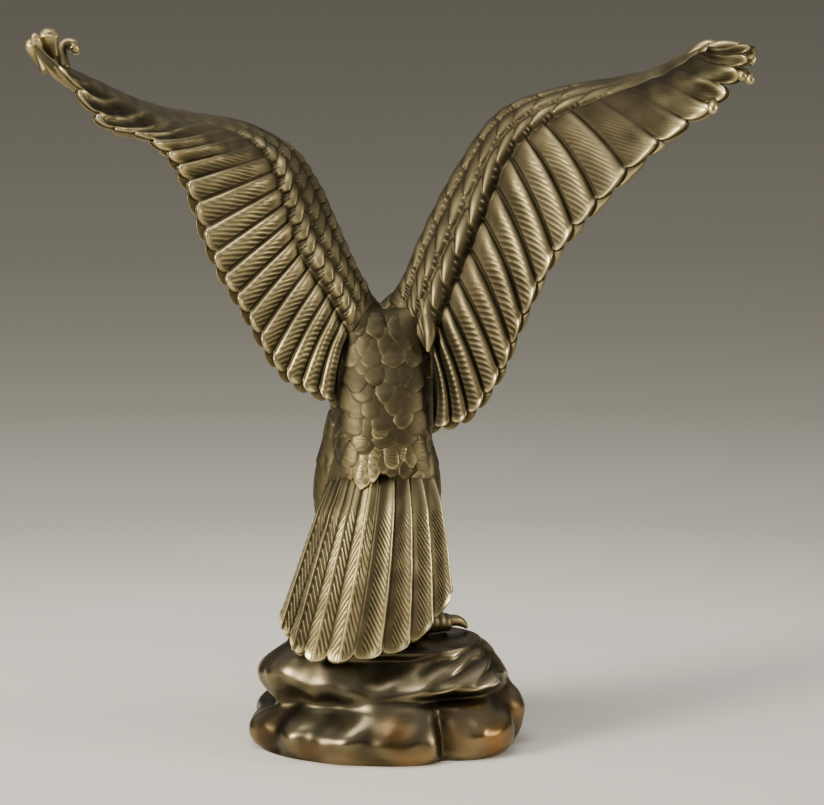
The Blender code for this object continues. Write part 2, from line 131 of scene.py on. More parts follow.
RIGHT_WING = {
    "lead": [
        (-0.8, -6, 94.4), (-5.8, -9, 101.5), (-11.4, -12.3, 113.5), (-18.6, -15.4, 127.5),
        (-28.5, -16.9, 142.3), (-36, -16.5, 148.8), (-52, -13.5, 154.2), (-72.5, -8, 157.8),
        (-84.5, -2, 163), (-90.5, 2, 166.3),
    ],
    "hinge": [
        (-12.5, 3, 81.5), (-15.4, 2.2, 89), (-20.8, 0.8, 101.5), (-28, -1.5, 117.5), (-35.4, -4.3, 134.5),
        (-45.2, -4.8, 143.5), (-60, -3, 150.5), (-75, 1, 156.5), (-85.5, 4.5, 162.5), (-89.3, 6, 165.3),
    ],
    "tips": [
        (-13, 8, 59.2), (-23.5, 9.5, 63), (-32.4, 10.5, 75), (-38.5, 11, 90), (-47.3, 11, 107.5),
        (-59, 11.5, 121.9), (-76.5, 13, 139.3), (-90.5, 14, 149.8), (-97.5, 14, 159), (-99.5, 13, 166),
    ],
    "curl": (-1, 1.5, 1.5),
}
# The tail's three lines run from the bird's left to its right.
TAIL = {
    "lead": [(10, -2, 57), (5.5, 3, 58), (0.6, 5, 58), (-4.5, 3, 58), (-9.5, -2, 57)],
    "hinge": [(15, 2, 44.5), (8.6, 9, 47), (1.4, 11.5, 48), (-5.8, 9, 47), (-12.8, 2, 45.5)],
    "tips": [(29.7, 14, 7.6), (22.6, 21, -1.6), (9.1, 24, -1.7), (-6.6, 21, 1.8), (-19, 14, 14)],
    "curl": (0, 0, 0),
}
# The trunk, neck and head: x, y, z, half width and half depth of each section along the bird. The
# rump's end stands a little higher than the solid's, because loose scale feathers cover it.
TRUNK = [
    (0.8, 12.4, 44, 3, 1), (0.8, 10.2, 47.5, 8, 3), (0.9, 7.4, 52, 12, 8.2), (0.7, 3.5, 55.5, 12.8, 12.6),
    (0.5, -1, 62, 13.4, 15.4), (0.2, -6.5, 69, 14.8, 17), (-0.5, -13, 74.6, 15.2, 16.2),
    (-0.4, -19, 77.8, 13.4, 13.6), (0, -25, 79, 11.2, 11), (0, -31, 78.7, 9.4, 9.4),
    (0, -36.5, 77.5, 8.4, 8.8), (0, -41.5, 75.4, 7.6, 7.8), (0, -45, 73, 5.4, 5.8), (0, -47, 71.5, 2.8, 3.2),
]
TRUNK_SQUARENESS = 2.5
# Scale feathers round the trunk and along it, those of the neck, and where neck and bare head start.
TRUNK_SCALES = 12
TRUNK_SCALE_ROWS = 24
HACKLES = 18
HACKLE_ROWS = 44
NECK_START = 0.52
HEAD_START = 0.86

# Limbs and beak: x, y, z and radius along each. Those that come in pairs are the bird's left one.
SHOULDER = [
    (5, -5, 74, 11), (5.5, -5.5, 82, 9.8), (7.5, -5, 90, 7.2), (11, -4.2, 97.5, 4.4), (15, -4.4, 104, 2.2),
]
THIGH = [
    (6, -3, 62, 7.5), (7.4, -6, 53, 8), (8.8, -7, 44, 8.6), (9.6, -8, 35, 7.6), (9.8, -8, 27, 5),
    (9.8, -7, 21, 3.6),
]
SHANK = [(9.8, -8, 28, 3.4), (9.8, -6, 15, 2.9), (9.8, -4, 3.4, 3.4)]
ANKLE = (9.8, -4)
STANCE_SHIFT = 2.2
UPPER_BEAK = [
    (0, -40.5, 73.6, 5.4), (0, -46.5, 73.2, 5.2), (0, -51.5, 71.2, 4.4), (0, -55.2, 67.6, 3),
    (0, -56.4, 63.6, 1.6), (0, -55.8, 60.8, 0.5),
]
LOWER_BEAK = [(0, -41.5, 69, 3.6), (0, -47, 67.6, 3), (0, -51, 66.4, 1.6), (0, -52.4, 66, 0.6)]
BEAK_NARROWING = 0.66
EYE = (7.2, -40, 77.6, 1.7)
BROW = [(4.6, -34.6, 83, 1.6), (6.8, -39.2, 81.2, 2.1), (5.8, -43.8, 78.6, 1.5)]

# Each toe's length by how many degrees it is turned outwards from the bird's front.
TOES = {-22: 11.5, 18: 12.5, 68: 11.5, 182: 7}
CLAW_LENGTH = 5.5
# Stations of a toe: share of its length and radius. Those of a claw have the height of its sole too.
TOE = [(-0.1, 3.2), (0.35, 3), (0.7, 3.1), (1, 2.4)]
CLAW = [(-0.36, 1.9, 1.2), (0.4, 1.6, 1.3), (0.8, 1.1, 0.6), (1, 0.5, 0)]

# The free feathers at the end of each hand: x, y, z and radius along each. The first one curls in
# over the leading edge.
LEFT_FINGERS = [
    [
        (88, 4, 159.5, 2), (88.9, 2, 164.3, 1.6), (88.3, 1, 166.2, 1.4), (86.8, 1, 166.9, 1.3),
        (85.2, 2, 166.4, 1.2), (84.7, 3, 165.4, 0.7),
    ],
    [
        (90, 8, 158.8, 1.9), (91.2, 6, 163.9, 1.3), (91.5, 6, 166.6, 1.5), (91.5, 7, 169.1, 1.8),
        (91.4, 8, 170.2, 1),
    ],
    [
        (91.8, 10, 159.2, 2), (93.9, 9, 164, 1.5), (94.6, 10, 166.8, 1.6), (95, 11, 168.4, 1.4),
        (94.9, 12, 169.3, 0.8),
    ],
]
RIGHT_FINGERS = [[(-83, 0, 161.4, 2.2), (-85.8, 2, 164.6, 1.9), (-89, 3, 166.2, 1.6), (-92, 4, 165.2, 1)]]
# The curled, knobby tips of both hands.
LEFT_KNOBS = [
    [(90.4, 7, 163, 1.1), (91.3, 7, 166.5, 1.7), (91.6, 7, 169, 2.2), (91.4, 7.5, 170.6, 1.2)],
    [(93.6, 8, 161, 1), (95, 8, 164, 1.5), (95.8, 8, 166.6, 1.9), (95.8, 8.5, 168, 1)],
    [(87, 3, 165.6, 1), (85.6, 3, 165.9, 1.5), (84.9, 3.4, 164.9, 1.5), (84.8, 4, 164, 0.7)],
]
RIGHT_KNOBS = [
    [(-89.4, 10, 152.6, 0.9), (-89, 14.6, 150.6, 1.5), (-88.6, 16.2, 149.3, 1.4), (-88.4, 17, 148.7, 0.6)],
    [(-93, 9, 158.6, 1.1), (-94.8, 12, 158.8, 1.2), (-96.6, 15, 158.4, 1.4), (-97.2, 16, 157.6, 0.7)],
    [(-96, 9, 160, 1.1), (-98, 12, 159, 1.2), (-98.8, 15, 157.4, 1.4), (-98.6, 16, 156.5, 0.7)],
    [(-97, 8, 166, 1.2), (-99, 11, 165, 1.4), (-99.4, 13.5, 163, 1.5), (-98.8, 15, 161.6, 0.8)],
    [(-86, 4, 163.4, 1.2), (-88.4, 6, 165.2, 1.4), (-92.4, 7, 166.3, 1.4), (-96.8, 8, 166.1, 1.1)],
]

# A large scale feather over the right wing's root, and the feathered cap of each shoulder.
SCAPULARS = [[(-9.8, 1.6, 97, 0.8), (-11.6, 4, 92, 1.7), (-12.4, 6, 87, 1.8), (-11.9, 7.2, 82, 0.6)]]
SHOULDER_CAPS = [
    [
        (1, -4, 88, 4), (5, -5.8, 93, 2.8), (8.4, -7.4, 98, 2.2), (11.4, -8.6, 103.6, 1.6),
        (14, -9.6, 109.6, 0.8),
    ],
    [
        (2, -4, 88, 4), (-2, -5.8, 93, 2.9), (-5.6, -7, 97, 2), (-8, -8, 101, 1.5),
        (-10, -9, 105.4, 0.8),
    ],
]

# The mantle, a saddle between the wings: x, y, z, half depth and half height of each section across it.
MANTLE = [
    (-14, -1, 83, 1, 2.5), (-12, -2, 83, 5, 8), (-8, -3, 82.6, 8.8, 12.6), (0, -3.2, 81.4, 9.4, 11.6),
    (8, -3, 82.6, 8.8, 12.6), (12, -2, 83, 5, 8), (14, -1, 83, 1, 2.5),
]
# The line of the back from the rump to the mantle, z and y, on which loose scale feathers lie.
BACK = [
    (40, 15.4), (44, 14.9), (47, 14.5), (52, 14.6), (58, 14.3), (63, 13.8), (71, 11.6), (77, 8.9), (82, 6.6),
    (87, 5.4), (91, 3.4), (94, 0),
]
BACK_WIDTH = 12.5
BACK_FALL = 5.2

# The rows of loose scale feathers on the back: from which height to which, and how far each row
# goes to both sides, which is less on the mantle.
PLATE_THICKNESS = 1.0
PLATE_ROWS = 10
PLATE_SPACING = 5.4
PLATES_LOW = 64
PLATES_HIGH = 92.5
MANTLE_LOW = 84
BACK_ROW_REACH = 9.5
MANTLE_ROW_REACH = 8.5
# Loose scale feathers on the rump: x and z of the root, length, half width, lean of the tip, and wear.
RUMP_PLATES = [
    (1.2, 66.5, 8.5, 3.5, 0, 0.7), (-4.4, 62, 9, 3.2, 0.3, 0.4), (6.2, 63, 8, 2.9, 0.6, 0.4),
    (-8.4, 60, 9, 2.5, -0.6, 0.3), (8.8, 58, 8, 2.3, 0.8, 0.3), (2.6, 59, 12.4, 2.6, 0.5, 0.9),
    (5.2, 57.5, 13, 2.4, 0.9, 1), (7.4, 55.5, 8.5, 1.8, 0.9, 0.5), (-1.4, 58.5, 8.5, 2.5, 0, 0.5),
    (-4.2, 59.5, 7.5, 2.3, -0.2, 1), (3.9, 54, 8.6, 1.8, 1.1, 1), (9.4, 54.5, 7.5, 1.7, 1, 0.3),
    (-9.6, 55.5, 7, 1.9, -0.8, 0.2), (0.8, 56, 7, 2.3, 0.1, 0.4), (-3.4, 56.5, 6.5, 2.4, -0.3, 0.3),
    (-7, 58, 7.6, 2.2, -0.6, 0.4), (6.2, 53, 6.5, 1.4, 1, 0.9), (-2.2, 55, 7, 2.3, -0.2, 0.1),
    (-5.6, 54, 6.5, 2.1, -0.5, 0.1), (10.8, 54, 6.5, 1.7, 1, 0.1),
]

# The rock: height, and how wide it is there as a share of its full size.
ROCK_PROFILE = [
    (0, 0.92), (0.05, 0.97), (0.19, 1), (0.31, 0.97), (0.42, 0.89), (0.51, 0.86), (0.57, 0.85),
    (0.66, 0.85), (0.78, 0.81), (0.9, 0.75), (1, 0.68),
]
# Lumps and hollows: turn in degrees from +X, height share, how far each spreads, and its swell.
ROCK_LUMPS = [
    (0, 0.42, 22, 0.1, -0.16), (6, 0.76, 22, 0.2, 0.09), (60, 0.48, 22, 0.14, -0.13),
    (72, 0.2, 10, 0.2, 0.05), (98, 0.2, 13, 0.22, 0.07), (119, 0.22, 7, 0.26, -0.17),
    (140, 0.22, 15, 0.24, 0.09), (92, 0.88, 26, 0.24, -0.17), (180, 0.42, 20, 0.14, 0.09),
    (150, 0.68, 20, 0.14, 0.05), (166, 0.2, 6, 0.2, -0.06), (208, 0.62, 15, 0.3, 0.09),
    (214, 0.2, 12, 0.2, -0.06), (236, 0.34, 14, 0.34, 0.1), (252, 0.74, 9, 0.3, -0.13),
    (268, 0.3, 8, 0.3, -0.08), (280, 0.66, 15, 0.34, 0.12), (300, 0.2, 14, 0.24, 0.08),
    (316, 0.6, 9, 0.3, -0.11), (334, 0.5, 12, 0.4, 0.09), (345, 0.16, 8, 0.2, -0.06),
    (35, 0.5, 9, 0.2, -0.07), (30, 0.8, 10, 0.2, 0.06), (126, 0.56, 26, 0.06, -0.09),
    (126, 0.68, 26, 0.08, 0.05),
]
# How much of its swell the rock keeps at the perch.
PERCH_SWELL = 0.4
# Where amber lacquer lies on the rock: turn in degrees, height share, how far it spreads, and how much.
LACQUER = [
    (138, 0.2, 13, 0.2, 1), (101, 0.08, 9, 0.1, 0.6), (94, 0.34, 7, 0.14, 0.5), (8, 0.2, 20, 0.2, 0.35),
    (2, 0.62, 14, 0.14, 0.5), (66, 0.08, 12, 0.1, 0.5), (170, 0.3, 10, 0.2, 0.4), (250, 0.3, 30, 0.3, 0.5),
]
AMBER = (0.3, 0.15, 0.04)
# Turns in degrees of the layered shelf and of the painted shade in the deep hollow under it.
SHELF_TURN = 140
UNDERCUT_SHADE_TURN = 126


def through(points, t):
    """The points at t, each from 0 to 1, on a smooth curve through evenly spaced points."""
    points = np.asarray(points, float)
    spans = len(points) - 1
    place = np.clip(np.asarray(t, float), 0, 1) * spans
    i = np.minimum(place.astype(int), spans - 1)
    u = (place - i)[..., None]
    start, end = points[i], points[i + 1]
    before = np.where((i > 0)[..., None], points[np.maximum(i - 1, 0)], 2 * start - end)
    after = np.where((i < spans - 1)[..., None], points[np.minimum(i + 2, spans)], 2 * end - start)
    out, back = (end - before) / 2, (after - start) / 2
    return (
        (2 * u**3 - 3 * u**2 + 1) * start
        + (u**3 - 2 * u**2 + u) * out
        + (3 * u**2 - 2 * u**3) * end
        + (u**3 - u**2) * back
    )


def smooth_step(x):
    """A soft step from 0, at 0 and below, to 1, at 1 and above."""
    x = np.clip(x, 0, 1)
    return x * x * (3 - 2 * x)


def bump(x, width):
    """A soft bump of height 1 round 0."""
    return np.exp(-((x / width) ** 2))


def chance(whole):
    """A fixed, scattered number from 0 to 1 for each whole number."""
    return np.mod(np.sin(np.asarray(whole, float) * 12.9898 + 4.1) * 43758.5453, 1)


def unevenness(points, size, seed):
    """A gentle unevenness of about -1 to 1, of that size, such as hand work and casting leave."""
    random = np.random.default_rng(seed)
    total = np.zeros(points.shape[:-1])
    waves = 7
    for _ in range(waves):
        heading = random.normal(size=3)
        heading /= np.linalg.norm(heading)
        rate = 2 * math.pi / size * random.uniform(0.6, 1.6)
        total += np.sin(points @ heading * rate + random.uniform(0, 7))
    return total / (waves / 2)


def rounded(share, lean=1.0):
    """How high a feather stands across its width. Its crown is in the middle, or leans further on."""
    return 1 - np.abs(2 * share**lean - 1) ** CROWN_SQUARENESS


def tip_shape(share):
    """How far a feather reaches across its width, from 0 at its sides to 1 at its tip."""
    return np.sqrt(np.clip(1 - np.abs(2 * share - 1) ** TIP_SQUARENESS, 0, 1))


def scales(across, along, reach=1.55):
    """How high overlapping scale feathers stand, and how near each place is to a tip's rim, from 0 to 1.

    There is one scale to each unit. Each row is shifted by half a scale, its tips point along, and it
    laps over the next row.
    """
    height = np.zeros(np.broadcast(across, along).shape)
    rim = np.zeros(height.shape)
    covered = np.zeros(height.shape, bool)
    for older in (1, 0):
        row = np.floor(along) - older
        down = (along - row) / reach
        side = across - 0.5 * np.mod(row, 2)
        number = np.floor(side) + 17 * row
        side = 2 * (side - np.floor(side)) - 1
        length = 1.14 - 0.22 * chance(number)
        corner = 0.5 * (chance(number + 3) - 0.5)
        edge = length - down**2.2 - 0.8 * np.abs(side - corner * (1 - side**2)) ** 1.4
        inside = (down < 1) & (edge > 0) & ~covered
        tilt = 1 + 0.5 * (chance(number + 5) - 0.5) * side
        dome = (0.3 + 0.7 * np.clip(down, 0, 1)) * (1 - 0.14 * side**2) * tilt
        dome = dome * smooth_step(0.4 + edge / 0.14) * (0.75 + 0.25 * chance(number + 9))
        height = np.where(inside, dome, height)
        rim = np.where(inside, bump(edge - 0.08, 0.1) * smooth_step(2.5 * down - 0.9), rim)
        covered |= inside
    return height, rim


def drops(along, place):
    """How high the lens-shaped coverts stand, from 0 to 1: one a unit along, in rows one unit apart."""
    row = np.floor(place)
    across = place - row
    along = along + 0.4 * row
    height = np.zeros(np.broadcast(along, place).shape)
    for older in (0, 1):
        number = np.floor(along) - older
        u = (along - number) / DROP_REACH
        centre = 0.24 + 0.52 * u
        wide = 0.02 + DROP_WIDTH * np.sqrt(np.clip(4 * u * (1 - u), 0, 1))
        dome = np.sqrt(np.clip(1 - ((across - centre) / wide) ** 2, 0, 1))
        dome = dome * (0.45 + 0.55 * smooth_step(1.6 * u)) * (0.8 + 0.2 * chance(number + 31 * row))
        height = np.maximum(height, dome)
    return height


def in_place(points):
    """Points of the bird, in bird units from the perch, as places in the model, in metres."""
    return np.asarray(points, float) * BIRD_UNIT + [0, 0, PERCH_HEIGHT + SEAT_GAP]


def tube_faces(rings, sides, first):
    """The faces of a closed tube of rings, with an n-sided cap at each end, from a first vertex on."""
    r, k = np.meshgrid(np.arange(rings - 1), np.arange(sides), indexing="ij")
    here, beside = r * sides + k, r * sides + (k + 1) % sides
    faces = (np.stack([here, beside, beside + sides, here + sides], -1).reshape(-1, 4) + first).tolist()
    faces.append(list(range(first, first + sides)))
    faces.append(list(range(first + (rings - 1) * sides, first + rings * sides)))
    return faces


def piece(name, tubes, lacquer=0.0):
    """One mesh object of closed tubes. Each is rings of points with a wear value from 0, deep, to 1, rubbed,
    into which painted shade and highlights are mixed in places.
    """
    faces, first = [], 0
    for points, heights in tubes:
        faces += tube_faces(points.shape[0], points.shape[1], first)
        first += points.shape[0] * points.shape[1]
    places = np.concatenate([points.reshape(-1, 3) for points, heights in tubes])
    heights = np.concatenate([np.broadcast_to(h, p.shape[:2]).reshape(-1) for p, h in tubes])
    mesh = bpy.data.meshes.new(name)
    mesh.from_pydata(places, [], faces)
    built = bmesh.new()
    built.from_mesh(mesh)
    bmesh.ops.recalc_face_normals(built, faces=built.faces)
    built.to_mesh(mesh)
    built.free()
    values = {"wear_and_painted_light": heights, "lacquer": np.broadcast_to(lacquer, heights.shape)}
    for word, value in values.items():
        kept = mesh.attributes.new(word, "FLOAT", "POINT")
        kept.data.foreach_set("value", np.clip(value, 0, 1).astype(np.float32))
    mesh.shade_smooth()
    made = bpy.data.objects.new(name, mesh)
    bpy.context.scene.collection.objects.link(made)
    return made


def plain(t, around):
    """The carving of a smooth limb: none, and a middling wear."""
    return np.zeros(t.shape), np.full(t.shape, 0.5)


def limb(stations, sides=16, rings=24, narrowing=1.0, mirrored=False, shift=0.0, carve=plain):
    """A rounded tube along x, y, z and radius stations. carve gives heights in bird units and reliefs."""
    t = np.linspace(0, 1, rings)
    sampled = through(stations, t)
    if mirrored:
        sampled[:, 0] *= -1
    sampled[:, 0] += shift
    centres, radii = sampled[:, :3], sampled[:, 3]
    heading = np.gradient(centres, axis=0)
    heading /= np.linalg.norm(heading, axis=1)[:, None]
    side = np.cross(heading[0], (0, 0, 1) if abs(heading[0, 2]) < 0.8 else (0, 1, 0))
    around = (np.arange(sides) + 0.5) / sides
    angle = (2 * math.pi * around - math.pi / 2)[:, None]
    raised, wear_and_painted_light = carve(*np.meshgrid(t, around, indexing="ij"))
    points = np.empty((rings, sides, 3))
    for ring, (centre, radius, forward) in enumerate(zip(centres, radii, heading)):
        side = side - forward * side.dot(forward)
        side /= np.linalg.norm(side)
        up = np.cross(side, forward)
        offset = narrowing * np.cos(angle) * side + np.sin(angle) * up
        points[ring] = centre + (radius + raised[ring][:, None]) * offset
    return in_place(points), wear_and_painted_light


class Fan:
    """A fan of feathers: coverts from its lead line to its hinge line, then one vane a feather.

    cupped is how hollow the hand's feathers are, and crumpled how dented the fan is and how much painted
    shade darkens it.
    """

    def __init__(self, lines, lapped, unlapped, arm, hand, notches, cupped=0.0, crumpled_and_shaded=0.0):
        self.lines = {k: in_place(lines[k]) for k in ("lead", "hinge", "tips")}
        self.curl = np.array(lines["curl"]) * BIRD_UNIT
        self.lapped, self.unlapped = lapped, unlapped
        self.count = lapped + unlapped
        self.arm, self.hand = arm, hand
        self.notches = notches
        self.cupped, self.crumpled_and_shaded = cupped, crumpled_and_shaded
        self.is_wing = lapped > 0

    def middle(self, feather, chord):
        """The middle surface: chord runs from 0 at the lead line to 1 at the tips."""
        t = feather / self.count
        lead, hinge, tip = (through(self.lines[k], t) for k in ("lead", "hinge", "tips"))
        turn = self.hinge_share(feather)[..., None]
        w = chord[..., None]
        curled = smooth_step((t - CURL_START) / (CURL_FULL - CURL_START))[..., None]
        curled = curled * np.maximum((w - turn) / (1 - turn), 0) ** 2
        return (
            lead * (w - turn) * (w - 1) / turn
            + hinge * w * (w - 1) / (turn * (turn - 1))
            + tip * w * (w - turn) / (1 - turn)
            + self.curl * curled
        )

    def chord_length(self, feather):
        """Lengths of the coverts' part and of the vane's part of a chord."""
        t = feather / self.count
        lead, hinge, tip = (through(self.lines[k], t) for k in ("lead", "hinge", "tips"))
        return np.linalg.norm(hinge - lead, axis=-1), np.linalg.norm(tip - hinge, axis=-1)

    def hinge_share(self, feather):
        """The share of a chord at which the vanes come out of the coverts."""
        coverts, vane = self.chord_length(feather)
        return np.clip(coverts / (coverts + vane), *COVERT_SHARES)

    def normal(self, feather, chord):
        """The direction out of the fan's back, which is the side that faces +Y."""
        step = 0.02
        along = self.middle(feather + step, chord) - self.middle(feather - step, chord)
        across = self.middle(feather, chord + step) - self.middle(feather, chord - step)
        out = np.cross(along, across)
        out /= np.linalg.norm(out, axis=-1)[..., None]
        return out * np.sign(out[..., 1].sum())

    def thickness(self, feather, chord):
        """Whole thickness: a rounded arm under the coverts, and vanes that thin to the tips."""
        t = feather / self.count
        turn = self.hinge_share(feather)
        arm = self.arm + (self.hand - self.arm) * smooth_step(t / HAND_THIN)
        q = np.clip(chord / turn, 0, 1)
        covered = arm * np.sqrt(np.clip(1 - ((q - ARM_CREST) / ARM_ROUNDING) ** 2, 0, 1))
        vane = (chord - turn) / (1 - turn)
        thin = VANE_THICKNESS + (EDGE_THICKNESS - VANE_THICKNESS) * np.clip(vane, 0, 1)
        return np.where(chord <= turn, covered, np.minimum(thin, VANE_SHARE * arm))

    def notch(self, feather):
        """How far the gap between two tips is cut back, on the way from the body to the tip."""
        near, far = self.notches
        return near + (far - near) * smooth_step((feather - self.lapped) / self.unlapped)

    def coverts(self, feather, q):
        """Height and relief of the rope-like rows of lens-shaped coverts, which fade out at the wrist."""
        t = feather / self.count
        if not self.is_wing:
            return np.zeros(len(feather)), np.full(len(feather), 0.35)
        fade = smooth_step((0.76 - t) / 0.24) * smooth_step(t / 0.06)
        height = drops(-feather + 0.12 * np.sin(9 * t + 5 * q), COVERT_ROWS * q * 0.999)
        last = smooth_step((q * COVERT_ROWS - COVERT_ROWS + 1) / 0.2)
        tall = COVERT_RELIEF + (BRAID_RELIEF - COVERT_RELIEF) * last
        raised = tall * height * fade * smooth_step(q / 0.1) * smooth_step((1 - q) / 0.03)
        wear_and_painted_light = (0.12 + (0.42 + 0.28 * last) * height**1.8) * fade + 0.3 * (1 - fade)
        # Painted shade: the coverts darken along their lower edge, where the braid overhangs the roots of
        # the flight feathers.
        wear_and_painted_light = wear_and_painted_light - 0.16 * bump(1 - q, 0.05) * fade
        # Painted shade: the coverts of a crumpled fan are darker.
        return raised, wear_and_painted_light * (1 - 0.32 * self.crumpled_and_shaded)

    def wing_vane(self, feather, share, length, width):
        """Height and relief of the flight feathers: shingled, with slanting barbs below a smooth ridge."""
        number = np.floor(feather)
        f = feather - number
        t = feather / self.count
        hand = smooth_step((t - HAND_START - 0.07 * self.crumpled_and_shaded) / 0.14)
        soft = hand * (1 - smooth_step((share - 0.15 - 0.55 * self.crumpled_and_shaded) / 0.3))
        ridge = rounded(f, CROWN_LEAN)
        groove = bump(f, 0.05) + bump(f - 1, 0.035)
        slope = 0.6 + 0.85 * smooth_step(t / 0.4)
        pitch = BARB_SPACING * np.sqrt(1 + slope**2)
        beat = (share * length - slope * (f - 0.75) * width) / pitch + 3 * chance(number)
        cut = (0.5 + 0.5 * np.sin(2 * math.pi * beat)) ** 1.2
        worked = smooth_step((share - 0.12) / 0.3) * smooth_step((0.98 - share) / 0.06)
        worked = worked * (1 - 0.9 * hand) * (0.3 + 0.7 * smooth_step(t / 0.2)) * (1 - 0.4 * self.crumpled_and_shaded)
        barbed = worked * smooth_step((f - 0.05) / 0.12) * smooth_step((0.9 - f) / 0.25)
        rim = bump(1 - share, 0.03 + 0.03 * hand) * smooth_step(share / 0.5)
        reach = 0.4 - 0.35 * smooth_step((feather - self.lapped - 2) / 2)
        outer = smooth_step((feather - self.lapped - 0.4) / 1.2)
        cup = self.cupped * outer * smooth_step((share - reach) / 0.25)
        hollow = cup * (1 - np.abs(2 * f - 1) ** 3) * smooth_step((0.96 - share) / 0.12)
        root = smooth_step(0.3 + 3 * share)
        raised = (
            FEATHER_RELIEF * ridge * root * (1 - cup) * (1 - 0.6 * soft)
            - GROOVE_DEPTH * groove * (1 - 0.5 * hand) * (1 - soft)
            + BARB_RELIEF * barbed * (cut - 0.5)
            + RIM_RELIEF * rim
            - CUP_DEPTH * hollow
        )
        # Painted highlight: a band on each feather's upper side, just past its crest, is brighter where the
        # light falls; ridge and grooves are wear and patina.
        wear_and_painted_light = 0.3 + 0.3 * ridge + 0.18 * bump(f - 0.78, 0.14) - 0.14 * groove
        wear_and_painted_light = wear_and_painted_light * (1 - soft) + 0.3 * soft - 0.1 * hand * (1 - soft)
        # Painted shade: the feathers' roots are darker where the braid of coverts overhangs them; the barbs'
        # strokes are wear.
        wear_and_painted_light = wear_and_painted_light + 0.48 * barbed * (cut - 0.5) - 0.2 * bump(share, 0.05) * (1 - hand)
        # Painted shade on a crumpled fan: darker near the body, a little darker all over, and with rims that
        # brighten less.
        wear_and_painted_light = wear_and_painted_light - 0.16 * self.crumpled_and_shaded * bump(t, 0.14) * smooth_step(share / 0.3)
        wear_and_painted_light = wear_and_painted_light * (1 - 0.1 * self.crumpled_and_shaded)
        wear_and_painted_light = wear_and_painted_light + (0.2 + 0.26 * hand * (1 - 0.4 * self.crumpled_and_shaded)) * rim
        wear_and_painted_light = wear_and_painted_light - 0.3 * hollow + 0.3 * cup * np.abs(2 * f - 1) ** 4
        # Painted shade on a crumpled fan: darker everywhere except its rims and the upper sides of its
        # feathers towards their tips.
        painted_shade = self.crumpled_and_shaded * (1 - 0.8 * rim) * (1 - 0.5 * bump(f - 0.8, 0.12) * bump(share - 0.75, 0.3))
        return raised, wear_and_painted_light - 0.26 * painted_shade

    def tail_vane(self, feather, share, length, width):
        """Height and relief of the tail: herringbone feathers, then feathers with a ridge at their right."""
        number = np.floor(feather)
        f = feather - number
        herringbone = number < HERRINGBONE_FEATHERS
        quill = bump(f - 0.5, 0.055)
        ridge = np.where(herringbone, 0.5 * rounded(f) + 0.5 * quill, rounded(f, TAIL_LEAN))
        groove = bump(f, 0.05) + bump(f - 1, 0.04)
        slope = np.where(herringbone, 2.1, 1.35)
        across = np.where(herringbone, np.abs(f - 0.5), f - 0.85) * width
        pitch = 0.85 * BARB_SPACING * np.sqrt(1 + slope**2)
        beat = (share * length - slope * across) / pitch + 3 * chance(number)
        cut = (0.5 + 0.5 * np.sin(2 * math.pi * beat)) ** 1.2
        sides = np.where(
            herringbone,
            smooth_step((np.abs(f - 0.5) - 0.04) / 0.06) * smooth_step((0.48 - np.abs(f - 0.5)) / 0.08),
            smooth_step((f - 0.22) / 0.15) * smooth_step((0.84 - f) / 0.12),
        )
        worked = sides * smooth_step((share - 0.15) / 0.25) * smooth_step((0.98 - share) / 0.04)
        rim = bump(1 - share, 0.028)
        raised = (
            FEATHER_RELIEF * ridge * smooth_step(0.3 + 3 * share)
            - GROOVE_DEPTH * groove * np.where(herringbone, 0.7, 0.4)
            + QUILL_RELIEF * quill * herringbone * 0.6
            + BARB_RELIEF * worked * (cut - 0.5)
            + RIM_RELIEF * rim
        )
        middle = smooth_step((feather - 1.6) / 0.6)
        # Painted highlight: the left half of each middle herringbone feather is brighter, on the side that
        # faces the light.
        fine = 0.22 + 0.18 * middle + (0.2 + 0.2 * middle) * quill + 0.16 * middle * bump(f - 0.3, 0.2)
        wear_and_painted_light = np.where(herringbone, fine, 0.22 + 0.56 * ridge**1.4) - 0.14 * groove
        wear_and_painted_light = wear_and_painted_light + (0.28 + 0.14 * middle) * worked * (cut - 0.5) + 0.36 * rim
        # Painted shade: the feathers are darker at their roots, where they come out from under the rump.
        wear_and_painted_light = wear_and_painted_light - 0.12 * bump(share, 0.12)
        return raised, wear_and_painted_light

    def surface(self, columns, covert_rows, vane_rows, under_rows):
        """Rings of points and reliefs round the fan, one a column, from the lead line and back to it."""
        inside = np.mod(columns, 1)
        shifted = np.mod(columns + 0.5, 1)
        coverts, vane = self.chord_length(columns)
        turn = self.hinge_share(columns)
        notch = self.notch(columns)
        ends = np.ones(len(columns))
        step = 0.1
        side = self.middle(columns + step, ends) - self.middle(columns - step, ends)
        width = np.linalg.norm(side, axis=-1) / (2 * step)
        lapped = columns < self.lapped
        under_crest = np.where(lapped, rounded(shifted), 0)
        lap = np.where(lapped, FEATHER_LAP, EDGE_THICKNESS / 2)
        under_end = 1 - notch * (1 - tip_shape(np.where(lapped, shifted, inside))) / vane
        upper_end = 1 - (lap + notch * (1 - tip_shape(inside))) / vane
        crumple = HAND_WORK + self.crumpled_and_shaded * CRUMPLE * smooth_step((columns / self.count - 0.68) / 0.14)
        carve = self.wing_vane if self.is_wing else self.tail_vane
        rings, wear_and_painted_lights = [], []

        def add(chord, offset, wear_and_painted_light):
            spot = self.middle(columns, chord)
            dents = unevenness(spot, 0.0062, 21)
            out = self.normal(columns, chord) * (offset + crumple * dents * np.sign(offset))[:, None]
            rings.append(spot + out)
            wear_and_painted_lights.append(wear_and_painted_light + (0.02 + 0.1 * crumple / (CRUMPLE + HAND_WORK)) * dents)

